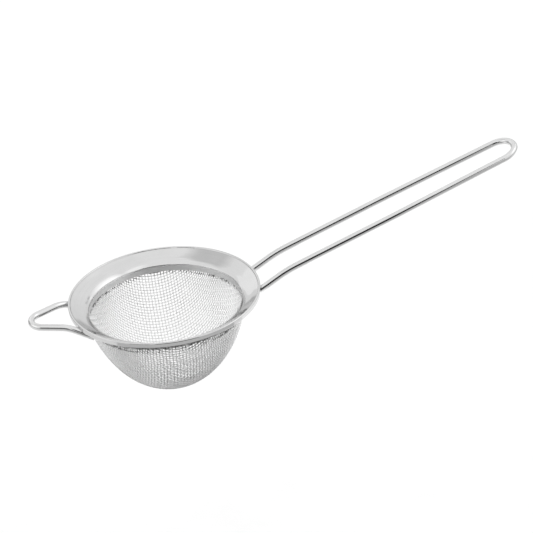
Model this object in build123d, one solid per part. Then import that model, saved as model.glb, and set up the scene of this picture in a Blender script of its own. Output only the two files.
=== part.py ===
from build123d import *
from math import cos, radians, sin, sqrt, tan
import os

# A tea strainer: a woven wire bowl held in a two-layer sheet brim, with a long wire
# handle welded under one side of the brim and a short wire rest under the other.
# Millimetres. The origin is the centre of the brim's top edge, +Z up out of the bowl,
# +X along the handle.

# Brim
BRIM_R = 40.0  # outside of the beaded edge
COLLAR_R = 32.0  # inside of the short collar that lines the mouth
COLLAR_FOOT_Z = -7.5  # lower edge of the collar
COLLAR_TOP_Z = -4.53  # where the collar turns sharply into the lip
COLLAR_BEND = 0.45
LIP_R = 33.6  # where the lip eases into the sloping brim
LIP_Z = -3.19
LIP_BEND = 8.0
DISH_R = 35.8  # where the sloping brim is pressed lowest
DISH_Z = -2.2
DISH_BEND = 26.0
CREASE_R = 39.0  # where the slope ends and the beaded edge begins
CREASE_Z = -0.4
CREASE_BEND = 0.05
BEAD_SHOULDER_R = 39.17  # where the bead's inner side would reach its full height
BEAD_BEND = 0.42  # outside radius of the bead
SEAM_Z = -3.9  # height at the collar's radius of the line the seam's layers follow
SEAM_SLOPE = 0.5211  # rise over run of that line
SHEET = 0.35  # thickness of both rings
CLOTH_DEPTH = 0.66  # from the seam's reference line square down to the cloth
TURNED_UNDER_R = 38.2  # inner edge of the sheet turned under the seam
BACKING_INNER_R = 34.4  # the lower ring, inside edge
BACKING_OUTER_R = 39.0  # the lower ring, outside edge

# Woven bowl
CLOTH = 0.65  # thickness of the woven cloth
CLOTH_OUTER_R = 39.1  # edge of the cloth, inside the bead
CLOTH_BEND = 2.0  # where the cloth turns down round the collar
BOWL_FOOT_Z = -42.0  # lowest point of the bowl, outside
BOWL_WIDTH_POWER = 2.25  # fullness of the bowl sideways
BOWL_DEPTH_POWER = 1.38  # fullness of the bowl downwards
BOWL_STATIONS = 10  # points that carry the bowl's curve

# Wire of the handle and of the rest
WIRE_R = 1.4
WIRE_END_R = 35.8  # how far in under the brim the wires reach
WELD_SINK = 0.12  # how far the welds pull the wires into the lower ring

# Handle
LEG_HALF_GAP = 8.35  # from the middle of the handle to the centre of each leg
HANDLE_BEND_X = 51.0  # where the legs turn from the brim's slope to the handle's
HANDLE_BEND_Z = 3.35
HANDLE_BEND = 50.0
HANDLE_SLOPE = 17.4  # degrees above level
TAPER_X = 98.0  # the legs draw together from here outwards
TAPER_BEND = 400.0
HANDLE_END_X = 154.5  # centre of the wire at the closed end
END_HALF_GAP = 7.3
END_BEND = 7.1

# Rest
REST_TIP_X = -55.9  # centre of the wire at the tip
REST_TIP_BEND = 6.0
REST_HALF_ANGLE = 24.5  # degrees between each leg and the middle of the rest
REST_Z = -0.9  # height of the level part
REST_BEND_X = -42.5  # where the legs turn down to pass under the brim
REST_BEND = 15.0

BACKING_DEPTH = CLOTH_DEPTH + CLOTH
STACK = BACKING_DEPTH + SHEET


def seam_line(r, depth):
    """Height at radius r of a line laid a given depth square below the seam's own."""
    return SEAM_Z + SEAM_SLOPE * (r - COLLAR_R) - depth * sqrt(1 + SEAM_SLOPE**2)


def turned(section):
    """A section drawn with X as radius and Y as height, turned about the bowl's axis."""
    return revolve(Plane.XZ * section, Axis.Z)


def bent_line(corners, bends):
    """Straight runs between the corners, each inner corner turned at its bend radius."""
    points = [Vector(*corner) for corner in corners]
    runs = []
    start = points[0]
    for before, corner, after, bend in zip(points, points[1:], points[2:], bends):
        incoming = (corner - before).normalized()
        outgoing = (after - corner).normalized()
        reach = bend * tan(radians(incoming.get_angle(outgoing)) / 2)
        runs.append(Line(start, corner - incoming * reach))
        start = corner + outgoing * reach
        runs.append(TangentArc(corner - incoming * reach, start, tangent=incoming))
    runs.append(Line(start, points[-1]))
    return Wire([run.edge() for run in runs])


def sheet_section(corners, bends):
    """Section of bent sheet, its thickness laid on the right of the bent line."""
    points = [Vector(*corner) for corner in corners]
    runs = [(b - a).normalized() for a, b in zip(points, points[1:])]
    incoming = [runs[0]] + runs
    outgoing = runs + [runs[-1]]
    far_corners = []
    for point, a, b in zip(points, incoming, outgoing):
        across = Vector(a.Y + b.Y, -a.X - b.X) / (1 + a.dot(b))
        far_corners.append(point + across * SHEET)
    far_bends = []
    for bend, a, b in zip(bends, runs, runs[1:]):
        left_turn = a.X * b.Y > a.Y * b.X
        far_bends.append(bend + SHEET if left_turn else bend - SHEET)
    near_side = bent_line(points, bends)
    far_side = bent_line(far_corners, far_bends)
    ends = [
        Edge.make_line(points[0], far_corners[0]),
        Edge.make_line(points[-1], far_corners[-1]),
    ]
    return make_face([*near_side.edges(), *far_side.edges(), *ends])


def brim_ring():
    """Collar, rounded lip, slightly dished brim and the beaded edge that closes the seam."""
    corners = [
        (COLLAR_R, COLLAR_FOOT_Z),
        (COLLAR_R, COLLAR_TOP_Z),
        (LIP_R, LIP_Z),
        (DISH_R, DISH_Z),
        (CREASE_R, CREASE_Z),
        (BEAD_SHOULDER_R, 0),
        (BRIM_R, 0),
        (BRIM_R, seam_line(BRIM_R, STACK + SHEET)),
        (TURNED_UNDER_R, seam_line(TURNED_UNDER_R, STACK + SHEET)),
    ]
    bends = [COLLAR_BEND, LIP_BEND, DISH_BEND, CREASE_BEND] + [BEAD_BEND] * 3
    return turned(sheet_section(corners, bends))


def backing_ring():
    """Flat-sided conical ring that clamps the cloth from below."""
    section = Polyline(
        (BACKING_INNER_R, seam_line(BACKING_INNER_R, BACKING_DEPTH)),
        (BACKING_OUTER_R, seam_line(BACKING_OUTER_R, BACKING_DEPTH)),
        (BACKING_OUTER_R, seam_line(BACKING_OUTER_R, STACK)),
        (BACKING_INNER_R, seam_line(BACKING_INNER_R, STACK)),
        close=True,
    )
    return turned(make_face(section))


def bowl_curve(neck_r, foot_z):
    """One side of the bowl, from the collar's foot down to the axis."""
    points = []
    for i in range(BOWL_STATIONS):
        angle = radians(90 * i / (BOWL_STATIONS - 1))
        r = neck_r * abs(cos(angle)) ** (2 / BOWL_WIDTH_POWER)
        drop = (COLLAR_FOOT_Z - foot_z) * sin(angle) ** (2 / BOWL_DEPTH_POWER)
        points.append((r, COLLAR_FOOT_Z - drop))
    points[-1] = (0, foot_z)
    return Spline(*points, tangents=[(0, -1), (-1, 0)])


def mesh_bowl():
    """The woven cloth as a thin skin: clamped flange, neck round the collar, bowl."""
    inner_r = COLLAR_R + SHEET
    outer_r = inner_r + CLOTH
    flange_top = seam_line(CLOTH_OUTER_R, CLOTH_DEPTH)
    flange_foot = seam_line(CLOTH_OUTER_R, BACKING_DEPTH)
    upper = bent_line(
        [
            (CLOTH_OUTER_R, flange_top),
            (inner_r, seam_line(inner_r, CLOTH_DEPTH)),
            (inner_r, COLLAR_FOOT_Z),
        ],
        [CLOTH_BEND],
    )
    lower = bent_line(
        [
            (CLOTH_OUTER_R, flange_foot),
            (outer_r, seam_line(outer_r, BACKING_DEPTH)),
            (outer_r, COLLAR_FOOT_Z),
        ],
        [CLOTH_BEND - CLOTH],
    )
    outline = [
        *upper.edges(),
        bowl_curve(inner_r, BOWL_FOOT_Z + CLOTH).edge(),
        Edge.make_line((0, BOWL_FOOT_Z + CLOTH), (0, BOWL_FOOT_Z)),
        bowl_curve(outer_r, BOWL_FOOT_Z).edge(),
        *lower.edges(),
        Edge.make_line((CLOTH_OUTER_R, flange_top), (CLOTH_OUTER_R, flange_foot)),
    ]
    return turned(make_face(outline))


def round_wire(corners, bends):
    """A round wire along a bent line, seated against the brim's underside."""
    path = bent_line(corners, bends)
    end = Plane(origin=path @ 0, z_dir=path % 0)
    wire = sweep(end * Circle(WIRE_R), path=path)
    seated = wire - brim_ring() - backing_ring()
    return seated.solids().sort_by(SortBy.VOLUME)[-1]


def both_sides(leg):
    """One leg's corners and the same corners mirrored back again."""
    return leg + [(x, -y, z) for x, y, z in reversed(leg)]


def wire_end_z():
    """Height of a wire's centre at its end, with its top sunk in the lower ring."""
    return seam_line(WIRE_END_R, STACK + WIRE_R - WELD_SINK)


def handle_wire():
    """One wire: up from under the brim, out, round the closed end and back."""
    start_x = sqrt(WIRE_END_R**2 - LEG_HALF_GAP**2)
    rise = tan(radians(HANDLE_SLOPE))
    leg = [
        (start_x, LEG_HALF_GAP, wire_end_z()),
        (HANDLE_BEND_X, LEG_HALF_GAP, HANDLE_BEND_Z),
        (TAPER_X, LEG_HALF_GAP, HANDLE_BEND_Z + rise * (TAPER_X - HANDLE_BEND_X)),
        (
            HANDLE_END_X,
            END_HALF_GAP,
            HANDLE_BEND_Z + rise * (HANDLE_END_X - HANDLE_BEND_X),
        ),
    ]
    bends = [HANDLE_BEND, TAPER_BEND, END_BEND, END_BEND, TAPER_BEND, HANDLE_BEND]
    return round_wire(both_sides(leg), bends)


def rest_wire():
    """The short loop opposite the handle that hooks on the far rim of a cup."""
    half = radians(REST_HALF_ANGLE)
    apex_x = REST_TIP_X - REST_TIP_BEND * (1 / sin(half) - 1)
    reach = -apex_x * cos(half) - sqrt(WIRE_END_R**2 - (apex_x * sin(half)) ** 2)
    leg = [
        (apex_x + reach * cos(half), reach * sin(half), wire_end_z()),
        (REST_BEND_X, (REST_BEND_X - apex_x) * tan(half), REST_Z),
    ]
    corners = leg + [(apex_x, 0, REST_Z)] + [(x, -y, z) for x, y, z in reversed(leg)]
    return round_wire(corners, [REST_BEND, REST_TIP_BEND, REST_BEND])


os.makedirs("parts", exist_ok=True)
PARTS = {
    "brim_ring": brim_ring(),
    "backing_ring": backing_ring(),
    "mesh_bowl": mesh_bowl(),
    "handle_wire": handle_wire(),
    "rest_wire": rest_wire(),
}
for node, shape in PARTS.items():
    export_step(shape, f"parts/{node}.step")
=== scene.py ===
import math

import bpy
import numpy as np
from mathutils import Matrix, Vector


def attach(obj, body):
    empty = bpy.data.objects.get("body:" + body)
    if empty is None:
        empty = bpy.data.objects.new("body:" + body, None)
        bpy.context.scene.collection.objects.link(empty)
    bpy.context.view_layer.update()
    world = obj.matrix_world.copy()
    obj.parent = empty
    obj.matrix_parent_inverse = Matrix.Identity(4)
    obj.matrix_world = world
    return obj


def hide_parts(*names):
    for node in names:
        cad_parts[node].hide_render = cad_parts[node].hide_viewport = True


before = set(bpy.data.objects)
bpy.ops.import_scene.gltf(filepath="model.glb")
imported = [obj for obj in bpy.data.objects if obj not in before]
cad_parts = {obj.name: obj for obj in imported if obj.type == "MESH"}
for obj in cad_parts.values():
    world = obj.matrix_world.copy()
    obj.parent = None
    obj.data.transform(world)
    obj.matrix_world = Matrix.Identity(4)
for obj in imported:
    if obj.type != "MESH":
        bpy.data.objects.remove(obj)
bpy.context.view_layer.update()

# Tea strainer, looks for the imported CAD. Lengths in the code are millimetres until MM
# turns them into metres. The axes are the CAD's: origin at the centre of the brim's top
# edge, +Z up out of the bowl, +X along the handle.

MM = 0.001

# Woven cloth, draped over the middle surface of the CAD's skin
ACROSS_PITCH = 1.37  # between the wires that run square to the handle
ALONG_PITCH = 1.24  # between the wires that run with the handle
CLOTH_WIRE_R = 0.175
CRIMP = 0.165  # how far each wire weaves off the middle surface
WEAVE_TURN = math.radians(-3.5)  # the cloth's own grain, turned from the handle
WIRE_SIDES = 6
STEPS_PER_PITCH = 3
FEWEST_CROSSINGS = 4  # shorter ends of wire, cut off by the edge, are left out

# The middle surface: a bowl, a straight neck, and a flange inside the seam
CLOTH_NECK_R = 32.675
CLOTH_FOOT_Z = -41.675
NECK_TOP_Z = -7.5  # the bowl's curve ends here, upright
WIDTH_POWER = 2.25
DEPTH_POWER = 1.38
BRIM_SLOPE = 3.7 / 7.1
FLANGE_CORNER_Z = -4.659  # where the neck's line and the flange's line meet
FLANGE_BEND = 1.675
CLOTH_EDGE_R = 37.0  # out of sight between the two rings
SPARE = 2.0  # the surface is worked out this far past the cloth's edge
BOWL_SAMPLES = 2500
BEND_SAMPLES = 60
PROFILE_STEP = 0.02

# Solving for each crossing of the drape
SOLVER_ROUNDS = 25
MISS_ALLOWED = 1e-8  # in squared millimetres
LONGEST_MOVE = 0.4  # in one round
SMALLEST_DET = 1e-9

# Finishes
COLLAR_DULL_Z = -5.6  # below this the ring has its duller finish, and painted light makes its steel lighter
LIP_BRIGHT_Z = -4.2  # above this it is polished
# painted light: how much lighter the collar's steel is painted
COLLAR_PAINTED_LIGHT = 1.12
CREASE_R = 39.0  # painted shade darkens the crease inside the bead
CREASE_REACH = 0.45
CREASE_PAINTED_SHADE = 0.92
SPUN_GRAZING = 0.9  # share of a polished sheet's reflection kept at grazing angles
SPUN_RELIEF = 0.0012  # how far the rings and the streaks stand up from the steel
WIRE_RELIEF = 0.0008
NECK_SHADE_FROM_Z = -9.6  # painted shade, for the shadow under the brim, darkens the cloth from here up to where the seam crushes it
NECK_SHADE_FULL_Z = -8.7
NECK_PAINTED_SHADE = (0.1, 0.8)  # least and most painted shade there, spot by spot

# Textures: scale in cycles per metre, contrast as a share of the tone either way, and
# what they take off or add to the roughness
RING_SCALE = 2500.0
RING_DRIFT = 0.9  # how far the pattern of rings changes in going round
RING_CONTRAST = 0.025
CLOUD_SCALE = 90.0
CLOUD_CONTRAST = 0.03
CLOUD_ROUGHNESS = (-0.02, 0.03)
STREAK_SCALE = 60.0  # lengthways; a wire's grain is its scale round and across
STREAK_CONTRAST = 0.02
PATCH_SCALE = 70.0
PATCH_CONTRAST = 0.04
PATCH_ROUGHNESS = (-0.03, 0.05)
SPOT_SCALE = 800.0
SPOT_EDGE = (0.42, 0.58)  # the noise levels that a spot's edge lies between
FLOOR_SCALE = 30.0

# The camera that matches the product view
CAM_AZIMUTH = math.radians(-12.2)
CAM_ELEVATION = math.radians(29.3)
CAM_ROLL = math.radians(-5.822)
CAM_DISTANCE = 900.0
CAM_SHIFT_X = -42.370  # how far right of the view's middle the origin sits
CAM_SHIFT_Y = -10.992
CAM_LENS = 147.06
CAM_SENSOR = 36.0

# Stage
UPWARDS = (0, 0.001, 1)  # a hair off upright, so that a card still has a sideways
DOWNWARDS = (0, 0.001, -1)
FLOOR_Z = -160.0
FLOOR_R = 1000.0
FLOOR_SIDES = 96
SKY_STRENGTH = 1.055
SKY_LEVELS = (  # height from straight down, 0, to straight up, 1, and the grey there
    (0.0, 0.58),
    (0.51, 0.56),
    (0.56, 0.98),
    (0.75, 1.05),
    (1.0, 1.10),
)


# ---------------------------------------------------------------- woven cloth


def cloth_profile():
    """Middle surface from the pole outwards: arc length, radius, height, evenly spaced."""
    angles = np.linspace(math.pi / 2, 0, BOWL_SAMPLES)
    radius = CLOTH_NECK_R * np.cos(angles) ** (2 / WIDTH_POWER)
    radius[0] = 0.0
    depth = NECK_TOP_Z - CLOTH_FOOT_Z
    height = NECK_TOP_Z - depth * np.sin(angles) ** (2 / DEPTH_POWER)
    steep = math.pi / 2 - math.atan(BRIM_SLOPE)
    turn = np.linspace(0, steep, BEND_SAMPLES)
    bend_r = CLOTH_NECK_R + FLANGE_BEND - FLANGE_BEND * np.cos(turn)
    bend_foot_z = FLANGE_CORNER_Z - FLANGE_BEND * math.tan(steep / 2)
    bend_z = bend_foot_z + FLANGE_BEND * np.sin(turn)
    edge_r = CLOTH_EDGE_R + SPARE
    edge_z = FLANGE_CORNER_Z + BRIM_SLOPE * (edge_r - CLOTH_NECK_R)
    r = np.concatenate([radius, bend_r, [edge_r]])
    z = np.concatenate([height, bend_z, [edge_z]])
    along = np.concatenate([[0], np.cumsum(np.hypot(np.diff(r), np.diff(z)))])
    even = np.arange(0, along[-1], PROFILE_STEP)
    return even, np.interp(even, along, r), np.interp(even, along, z)


PROFILE_S, PROFILE_R, PROFILE_Z = cloth_profile()
CLOTH_END_S = float(np.interp(CLOTH_EDGE_R, PROFILE_R, PROFILE_S))


def profile_at(s):
    """Radius, height and their slopes along the middle surface."""
    k = min(max(int(s / PROFILE_STEP), 0), len(PROFILE_S) - 2)
    w = s / PROFILE_STEP - k
    dr = PROFILE_R[k + 1] - PROFILE_R[k]
    dz = PROFILE_Z[k + 1] - PROFILE_Z[k]
    r = PROFILE_R[k] + w * dr
    z = PROFILE_Z[k] + w * dz
    return r, z, dr / PROFILE_STEP, dz / PROFILE_STEP


def surface_point(s, turn):
    """The middle surface's point at an arc length from the pole and a turn round the axis."""
    r, z, _, _ = profile_at(s)
    return np.array([r * math.cos(turn), r * math.sin(turn), z])


def next_crossing(a, b, c):
    """The surface point one pitch from both a and b, on the far side from c."""
    target_a, target_b = surface_point(*a), surface_point(*b)
    guess = target_a + target_b - surface_point(*c)
    s = a[0] + b[0] - c[0]
    turn = math.atan2(guess[1], guess[0])
    for _ in range(SOLVER_ROUNDS):
        r, z, slope_r, slope_z = profile_at(s)
        cos_t, sin_t = math.cos(turn), math.sin(turn)
        point = np.array([r * cos_t, r * sin_t, z])
        from_a, from_b = point - target_a, point - target_b
        miss_a = from_a @ from_a - ACROSS_PITCH**2
        miss_b = from_b @ from_b - ALONG_PITCH**2
        if abs(miss_a) + abs(miss_b) < MISS_ALLOWED:
            return s, turn
        by_s = np.array([slope_r * cos_t, slope_r * sin_t, slope_z])
        by_turn = np.array([-r * sin_t, r * cos_t, 0.0])
        m00, m01 = 2 * from_a @ by_s, 2 * from_a @ by_turn
        m10, m11 = 2 * from_b @ by_s, 2 * from_b @ by_turn
        det = m00 * m11 - m01 * m10
        if abs(det) < SMALLEST_DET:
            return None
        ds = (m11 * miss_a - m01 * miss_b) / det
        dt = (m00 * miss_b - m10 * miss_a) / det
        share = LONGEST_MOVE / max(abs(ds) + abs(dt) * r, LONGEST_MOVE)
        s -= ds * share
        turn -= dt * share
    return None


def drape():
    """One quarter of the cloth's crossings, as (arc length, turn) from the pole.

    The cloth is woven square and flat, then drawn into the bowl, so every crossing stays
    one pitch from its neighbours along both wires while the squares shear to diamonds.
    """
    last = CLOTH_END_S + ALONG_PITCH
    crossings = {(0, 0): (0.0, 0.0)}
    count = int(last / ALONG_PITCH) + 1
    for k in range(1, count + 1):
        crossings[k, 0] = (k * ACROSS_PITCH, 0.0)
        crossings[0, k] = (k * ALONG_PITCH, math.pi / 2)
    for i in range(1, count + 1):
        for j in range(1, count + 1):
            near = [crossings.get(key) for key in ((i - 1, j), (i, j - 1), (i - 1, j - 1))]
            if None in near or min(near[0][0], near[1][0]) > last:
                continue
            found = next_crossing(*near)
            if found:
                crossings[i, j] = found
    return crossings


def crossing_table():
    """All four quarters by symmetry: (i, j) to arc length, point and outward normal."""
    table = {}
    cos_w, sin_w = math.cos(WEAVE_TURN), math.sin(WEAVE_TURN)
    for (i, j), (s, turn) in drape().items():
        r, z, slope_r, slope_z = profile_at(s)
        for flip_x in (1, -1):
            for flip_y in (1, -1):
                x = r * math.cos(turn) * flip_x
                y = r * math.sin(turn) * flip_y
                nx = slope_z * math.cos(turn) * flip_x
                ny = slope_z * math.sin(turn) * flip_y
                table[i * flip_x, j * flip_y] = (
                    s,
                    np.array([x * cos_w - y * sin_w, x * sin_w + y * cos_w, z]),
                    np.array([nx * cos_w - ny * sin_w, nx * sin_w + ny * cos_w, -slope_r]),
                )
    return table


def wire_runs(table, across):
    """The wires of one direction: each a list of crossings, in order along the wire."""
    span = max(max(abs(key[0]), abs(key[1])) for key in table) + 1
    for lane in range(-span, span + 1):
        run = []
        for k in range(-span, span + 1):
            key = (lane, k) if across else (k, lane)
            if key in table and table[key][0] <= CLOTH_END_S + ALONG_PITCH:
                run.append(key)
                continue
            if len(run) >= FEWEST_CROSSINGS:
                yield run
            run = []


def woven_path(table, run, side):
    """Points and normals along a wire that passes over and under at each crossing.

    The wire's own line is a Catmull-Rom curve through its crossings.
    """
    points = np.array([table[key][1] for key in run])
    normals = np.array([table[key][2] for key in run])
    signs = np.array([side if (key[0] + key[1]) % 2 == 0 else -side for key in run])
    padded = np.vstack([2 * points[0] - points[1], points, 2 * points[-1] - points[-2]])
    path, outward = [], []
    for k in range(len(run) - 1):
        p0, p1, p2, p3 = padded[k : k + 4]
        for step in range(STEPS_PER_PITCH):
            u = step / STEPS_PER_PITCH
            base = 0.5 * (
                2 * p1
                + (p2 - p0) * u
                + (2 * p0 - 5 * p1 + 4 * p2 - p3) * u**2
                + (3 * p1 - p0 - 3 * p2 + p3) * u**3
            )
            normal = normals[k] * (1 - u) + normals[k + 1] * u
            normal /= np.linalg.norm(normal)
            path.append(base + normal * CRIMP * signs[k] * math.cos(math.pi * u))
            outward.append(normal)
    path.append(points[-1] + normals[-1] * CRIMP * signs[-1])
    outward.append(normals[-1])
    return np.array(path), np.array(outward)


def wire_tube(path, outward):
    """Vertices and faces of a closed wire along a path."""
    ahead = np.gradient(path, axis=0)
    ahead /= np.linalg.norm(ahead, axis=1)[:, None]
    across = np.cross(ahead, outward)
    across /= np.linalg.norm(across, axis=1)[:, None]
    up = np.cross(across, ahead)
    turns = np.arange(WIRE_SIDES) * 2 * math.pi / WIRE_SIDES
    ring = (
        path[:, None]
        + CLOTH_WIRE_R * np.cos(turns)[None, :, None] * across[:, None]
        + CLOTH_WIRE_R * np.sin(turns)[None, :, None] * up[:, None]
    )
    vertices = ring.reshape(-1, 3)
    faces = []
    for k in range(len(path) - 1):
        a, b = k * WIRE_SIDES, (k + 1) * WIRE_SIDES
        for n in range(WIRE_SIDES):
            m = (n + 1) % WIRE_SIDES
            faces.append((a + n, a + m, b + m, b + n))
    last = (len(path) - 1) * WIRE_SIDES
    faces.append(tuple(range(WIRE_SIDES))[::-1])
    faces.append(tuple(range(last, last + WIRE_SIDES)))
    return vertices, faces


def mesh_object(name, vertices, faces):
    """A smooth-shaded object in the scene, from vertices in millimetres."""
    mesh = bpy.data.meshes.new(name)
    mesh.from_pydata([tuple(v * MM) for v in vertices], [], faces)
    mesh.validate()
    mesh.shade_smooth()
    made = bpy.data.objects.new(name, mesh)
    bpy.context.scene.collection.objects.link(made)
    return made


def cloth_wires(name, table, across, side):
    """All the wires of one direction as one object."""
    vertices, faces, base = [], [], 0
    for run in wire_runs(table, across):
        v, f = wire_tube(*woven_path(table, run, side))
        vertices.append(v)
        faces += [tuple(n + base for n in face) for face in f]
        base += len(v)
    return mesh_object(name, np.vstack(vertices), faces)


# ---------------------------------------------------------------- materials


class Nodes:
    """Short hand for building the node tree of a material or a world."""

    def __init__(self, owner):
        self.owner = owner
        owner.use_nodes = True
        self.tree = owner.node_tree
        self.tree.nodes.clear()

    def add(self, kind, **settings):
        node = self.tree.nodes.new(kind)
        for key, value in settings.items():
            setattr(node, key, value)
        return node

    def link(self, a, b):
        self.tree.links.new(a, b)

    def put(self, value, socket):
        """Feed a socket from another socket or with a plain number."""
        if isinstance(value, bpy.types.NodeSocket):
            self.link(value, socket)
        else:
            socket.default_value = value

    def math(self, operation, a, b=0.0):
        node = self.add("ShaderNodeMath", operation=operation)
        self.put(a, node.inputs[0])
        self.put(b, node.inputs[1])
        return node.outputs[0]

    def product(self, result, *factors):
        for factor in factors:
            result = self.math("MULTIPLY", result, factor)
        return result

    def where(self, space="Object"):
        """The shaded point, in the object's own coordinates unless told otherwise."""
        return self.add("ShaderNodeTexCoord").outputs[space]

    def split(self, vector):
        node = self.add("ShaderNodeSeparateXYZ")
        self.link(vector, node.inputs[0])
        return node.outputs

    def combine(self, x, y, z):
        node = self.add("ShaderNodeCombineXYZ")
        for value, socket in zip((x, y, z), node.inputs):
            self.put(value, socket)
        return node.outputs[0]

    def noise(self, vector, scale, detail=3.0):
        node = self.add("ShaderNodeTexNoise")
        self.link(vector, node.inputs["Vector"])
        node.inputs["Scale"].default_value = scale
        node.inputs["Detail"].default_value = detail
        node.inputs["Roughness"].default_value = 0.55
        return node.outputs["Fac"]

    def remap(self, value, low, high, out_low, out_high):
        node = self.add("ShaderNodeMapRange")
        for number, socket in zip((value, low, high, out_low, out_high), node.inputs):
            self.put(number, socket)
        return node.outputs[0]

    def vary(self, noise, low, high):
        """Spread the middle of a noise's range, where most of it lies, over low to high."""
        return self.remap(noise, 0.3, 0.7, low, high)

    def around(self, noise, middle, contrast):
        """Vary a middle value by a share of itself either way."""
        return self.vary(noise, middle * (1 - contrast), middle * (1 + contrast))

    def grey(self, tone):
        node = self.add("ShaderNodeCombineColor")
        for socket in node.inputs:
            self.put(tone, socket)
        return node.outputs[0]

    def mix(self, share, first, second):
        """A blend of two shaders; a share of one is all second."""
        node = self.add("ShaderNodeMixShader")
        for value, socket in zip((share, first, second), node.inputs):
            self.link(value, socket)
        return node.outputs[0]

    def show(self, shader, output="ShaderNodeOutputMaterial"):
        """Make a shader the owner's surface, and hand the owner back."""
        self.link(shader, self.add(output).inputs["Surface"])
        return self.owner

    def steel(self, tone, roughness, height, relief, grazing=1.0):
        """Bare steel. Height is the texture that stands up from it, relief how far in mm."""
        shader = self.add("ShaderNodeBsdfPrincipled")
        shader.inputs["Metallic"].default_value = 1.0
        shader.inputs["Specular Tint"].default_value = (grazing, grazing, grazing, 1)
        self.link(self.grey(tone), shader.inputs["Base Color"])
        self.put(roughness, shader.inputs["Roughness"])
        bump = self.add("ShaderNodeBump")
        bump.inputs["Strength"].default_value = 1.0
        bump.inputs["Distance"].default_value = relief * MM
        self.link(height, bump.inputs["Height"])
        self.link(bump.outputs[0], shader.inputs["Normal"])
        return self.show(shader.outputs[0])


def new_material(name):
    return Nodes(bpy.data.materials.new(name))


def spun_steel(name, tone, roughness, collar_roughness):
    """Sheet pressed and polished on a lathe: faint rings round the bowl's axis.

    The collar, below the lip, keeps the duller finish the press left on it, and painted
    light makes its steel lighter; painted shade darkens the crease inside the beaded edge a
    little.
    """
    n = new_material(name)
    at = n.where()
    x, y, z = n.split(at)
    turn = n.math("ARCTAN2", y, x)
    radius = n.math("SQRT", n.math("ADD", n.product(x, x), n.product(y, y)))
    ringed = n.combine(
        n.product(n.math("COSINE", turn), RING_DRIFT),
        n.product(n.math("SINE", turn), RING_DRIFT),
        n.product(n.math("ADD", radius, z), RING_SCALE),
    )
    rings = n.noise(ringed, 1.0, 4.0)
    clouds = n.noise(at, CLOUD_SCALE, 4.0)
    # Painted shade: the steel is darkened along the crease inside the bead
    off_crease = n.math("ABSOLUTE", n.math("SUBTRACT", radius, CREASE_R * MM))
    shade = n.product(
        n.around(rings, tone, RING_CONTRAST),
        n.around(clouds, 1.0, CLOUD_CONTRAST),
        n.remap(off_crease, 0.0, CREASE_REACH * MM, CREASE_PAINTED_SHADE, 1.0),
        # Painted light: the collar's steel is painted lighter below the lip
        n.remap(z, COLLAR_DULL_Z * MM, LIP_BRIGHT_Z * MM, COLLAR_PAINTED_LIGHT, 1.0),
    )
    rough = n.math(
        "ADD",
        n.vary(clouds, *CLOUD_ROUGHNESS),
        n.remap(z, COLLAR_DULL_Z * MM, LIP_BRIGHT_Z * MM, collar_roughness, roughness),
    )
    return n.steel(shade, rough, rings, SPUN_RELIEF, SPUN_GRAZING)


def drawn_wire(name, tone, roughness, grain, neck_shade=None):
    """Bright drawn wire: fine streaks along the handle, and patches handled less shiny.

    The painted shade under the seam is given as the least and the most tone taken off, spot
    by spot, for the brim's shadow on the cloth where the seam crushes it.
    """
    n = new_material(name)
    at = n.where()
    x, y, z = n.split(at)
    drawn = n.combine(n.product(x, STREAK_SCALE), n.product(y, grain), n.product(z, grain))
    streaks = n.noise(drawn, 1.0)
    patches = n.noise(at, PATCH_SCALE)
    shade = n.product(
        n.around(streaks, tone, STREAK_CONTRAST),
        n.around(patches, 1.0, PATCH_CONTRAST),
    )
    # Painted shade: the cloth under the seam is darkened in spots, for the brim's shadow
    if neck_shade:
        near_seam = n.remap(z, NECK_SHADE_FROM_Z * MM, NECK_SHADE_FULL_Z * MM, 0.0, 1.0)
        spots = n.remap(n.noise(at, SPOT_SCALE, 1.0), *SPOT_EDGE, *neck_shade)
        kept = n.math("SUBTRACT", 1.0, n.product(near_seam, spots))
        shade = n.product(shade, kept)
    rough = n.vary(patches, *[roughness + change for change in PATCH_ROUGHNESS])
    return n.steel(shade, rough, streaks, WIRE_RELIEF)


# ---------------------------------------------------------------- stage


def build_floor():
    """A pale round floor, well below the bowl."""
    rim = []
    for turn in np.linspace(0, 2 * math.pi, FLOOR_SIDES, endpoint=False):
        rim.append(np.array([FLOOR_R * math.cos(turn), FLOOR_R * math.sin(turn), FLOOR_Z]))
    floor = mesh_object("floor", rim, [tuple(range(FLOOR_SIDES))])
    n = new_material("pale_floor")
    shader = n.add("ShaderNodeBsdfDiffuse")
    tone = n.vary(n.noise(n.where(), FLOOR_SCALE), 0.91, 0.93)
    n.link(n.grey(tone), shader.inputs["Color"])
    floor.data.materials.append(n.show(shader.outputs[0]))


def feathering(n, centre, spans, feather):
    """One inside a card, fading to nothing at its edges; spans are (axis, size) pairs."""
    at = n.where()
    fades = []
    for axis, size in spans:
        along = n.add("ShaderNodeVectorMath", operation="DOT_PRODUCT")
        n.link(at, along.inputs[0])
        along.inputs[1].default_value = axis
        offset = n.math("SUBTRACT", along.outputs["Value"], centre.dot(axis) * MM)
        edge = size * MM / 2
        fades.append(n.remap(n.math("ABSOLUTE", offset), edge * (1 - feather), edge, 1.0, 0.0))
    return n.product(*fades)


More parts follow.
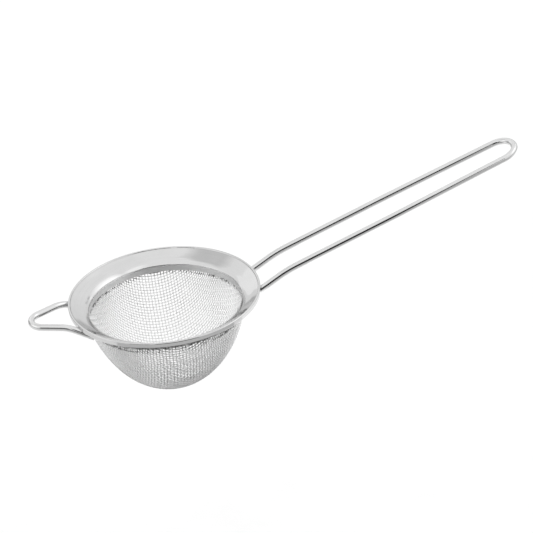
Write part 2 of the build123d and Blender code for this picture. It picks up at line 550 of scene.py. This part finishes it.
def card(name, centre, width, height, facing, level, feather=0.0):
    """A studio card that only shows in the metal's reflections.

    Feather is the share of each half width over which the card's edges fade away.
    """
    centre = Vector(centre)
    out = Vector(facing).normalized()
    side = out.cross(Vector((0, 0, 1))).normalized()
    up = side.cross(out)
    corners = []
    for a, b in ((-1, -1), (1, -1), (1, 1), (-1, 1)):
        corners.append(np.array(centre + side * a * width / 2 + up * b * height / 2))
    made = mesh_object(name, corners, [(0, 1, 2, 3)])
    n = new_material(name)
    glow = n.add("ShaderNodeEmission")
    glow.inputs["Color"].default_value = (level, level, level, 1)
    shader = glow.outputs[0]
    if feather:
        solid = feathering(n, centre, ((side, width), (up, height)), feather)
        clear = n.add("ShaderNodeBsdfTransparent")
        shader = n.mix(solid, clear.outputs[0], shader)
    made.data.materials.append(n.show(shader))
    made.visible_camera = False
    made.visible_diffuse = False
    made.visible_shadow = False
    made.visible_transmission = False


def build_world():
    """Plain white to the camera; to everything else a sky that is darker below."""
    world = bpy.data.worlds.new("studio")
    bpy.context.scene.world = world
    n = Nodes(world)
    _, _, height = n.split(n.where("Generated"))
    ramp = n.add("ShaderNodeValToRGB")
    n.link(n.remap(height, -1.0, 1.0, 0.0, 1.0), ramp.inputs[0])
    stops = ramp.color_ramp.elements
    while len(stops) < len(SKY_LEVELS):
        stops.new(0.5)
    for stop, (position, level) in zip(stops, SKY_LEVELS):
        stop.position = position
        stop.color = (level, level, level, 1)
    sky = n.add("ShaderNodeBackground")
    sky.inputs["Strength"].default_value = SKY_STRENGTH
    n.link(ramp.outputs[0], sky.inputs["Color"])
    plain = n.add("ShaderNodeBackground")
    plain.inputs["Color"].default_value = (1, 1, 1, 1)
    seen = n.add("ShaderNodeLightPath").outputs["Is Camera Ray"]
    n.show(n.mix(seen, sky.outputs[0], plain.outputs[0]), "ShaderNodeOutputWorld")


def build_camera():
    """A long lens, aimed by azimuth, elevation and roll about the origin, then shifted."""
    a, e, roll = CAM_AZIMUTH, CAM_ELEVATION, CAM_ROLL
    back = Vector((math.sin(a) * math.cos(e), -math.cos(a) * math.cos(e), math.sin(e)))
    level_right = Vector((math.cos(a), math.sin(a), 0))
    level_up = back.cross(level_right)
    right = level_right * math.cos(roll) + level_up * math.sin(roll)
    up = level_up * math.cos(roll) - level_right * math.sin(roll)
    spot = back * CAM_DISTANCE - right * CAM_SHIFT_X - up * CAM_SHIFT_Y
    data = bpy.data.cameras.new("camera")
    data.sensor_width = CAM_SENSOR
    data.lens = CAM_LENS
    data.clip_start = 0.01
    data.clip_end = 50.0
    camera = bpy.data.objects.new("camera", data)
    bpy.context.scene.collection.objects.link(camera)
    axes = Matrix((right, up, back)).transposed().to_4x4()
    camera.matrix_world = Matrix.Translation(spot * MM) @ axes
    bpy.context.scene.camera = camera


# ---------------------------------------------------------------- put together

crossings = crossing_table()
warp = cloth_wires("mesh_warp_wires", crossings, True, 1)
weft = cloth_wires("mesh_weft_wires", crossings, False, -1)
mesh_steel = drawn_wire("mesh_steel", tone=0.87, roughness=0.28, grain=900.0, neck_shade=NECK_PAINTED_SHADE)
for wires in (warp, weft):
    wires.data.materials.append(mesh_steel)
    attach(wires, "root")
    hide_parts("mesh_bowl")

finishes = {
    "brim_ring": spun_steel("brim_steel", tone=0.60, roughness=0.07, collar_roughness=0.42),
    "backing_ring": spun_steel("backing_steel", tone=0.56, roughness=0.24, collar_roughness=0.24),
    "handle_wire": drawn_wire("handle_steel", tone=0.64, roughness=0.09, grain=2500.0),
    "rest_wire": drawn_wire("rest_steel", tone=0.64, roughness=0.09, grain=2500.0),
}
for node, material in finishes.items():
    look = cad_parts[node].data.materials
    look.clear()
    look.append(material)

build_floor()

# The dark of the room on the camera's side, which the lip and the round wires mirror
card("camera_side_dark", (-6, -350, 160), 312, 400, (0, 1, 0), 0.03)
card("camera_low_dark", (-208, -348, -25), 100, 150, (0, 1, 0), 0.03)
card("camera_left_dark", (-330, -350, 110), 190, 260, (0.6, 1, 0), 0.05)
card("camera_side_grey", (50, -500, 6), 470, 332, (0, 1, 0), 0.59)

# The table's top, and the dark under the bowl
card("table_front", (0, -420, -158), 1200, 640, UPWARDS, 0.70)
card("table_right", (520, 140, -157), 800, 340, UPWARDS, 1.3)
card("bowl_shadow", (-5, -50, -64), 120, 94, UPWARDS, 0.22)

# Soft boxes on the right, overhead and on the left
card("soft_box_right", (600, 10, 560), 920, 1000, (-1, 0, 0), 1.8, 0.8)
card("soft_box_top", (340, -190, 900), 500, 300, DOWNWARDS, 1.4, 0.6)
card("low_box_right", (600, 395, 265), 140, 200, (-1, -0.5, 0), 1.45, 0.4)
card("soft_box_left", (-600, 0, 250), 560, 480, (1, 0, 0), 1.5, 0.5)

# Dimmer gaps by the right-hand boxes, and a glow beside the bowl
card("right_gap", (438, 385, 292), 70, 85, (-1, -0.8, -0.5), 0.68, 0.7)
card("right_gap_low", (415, 430, 235), 80, 60, (-1, -1, -0.5), 0.78, 0.7)
card("bowl_right_glow", (46, 5, -35), 90, 50, (-1, 0, 0), 1.45, 0.4)

# The far side: parts of the table, then bright and grey parts of the room on the left
card("far_right_table", (188, 387, -84), 140, 150, (-0.45, -1, 0.2), 0.95)
card("far_table_edge", (30, 560, -35), 210, 170, (0, -1, 0), 0.62)
card("far_left_bright", (-185, 560, 245), 260, 240, (0.3, -1, -0.4), 1.25)
card("back_left_grey", (-420, 420, 60), 360, 300, (1, -1, 0), 0.5, 0.3)
card("upper_left_grey", (-195, 245, 530), 330, 330, (0.3, -0.4, -0.87), 0.83, 0.5)

build_world()
build_camera()
bpy.context.scene.view_settings.view_transform = "Standard"
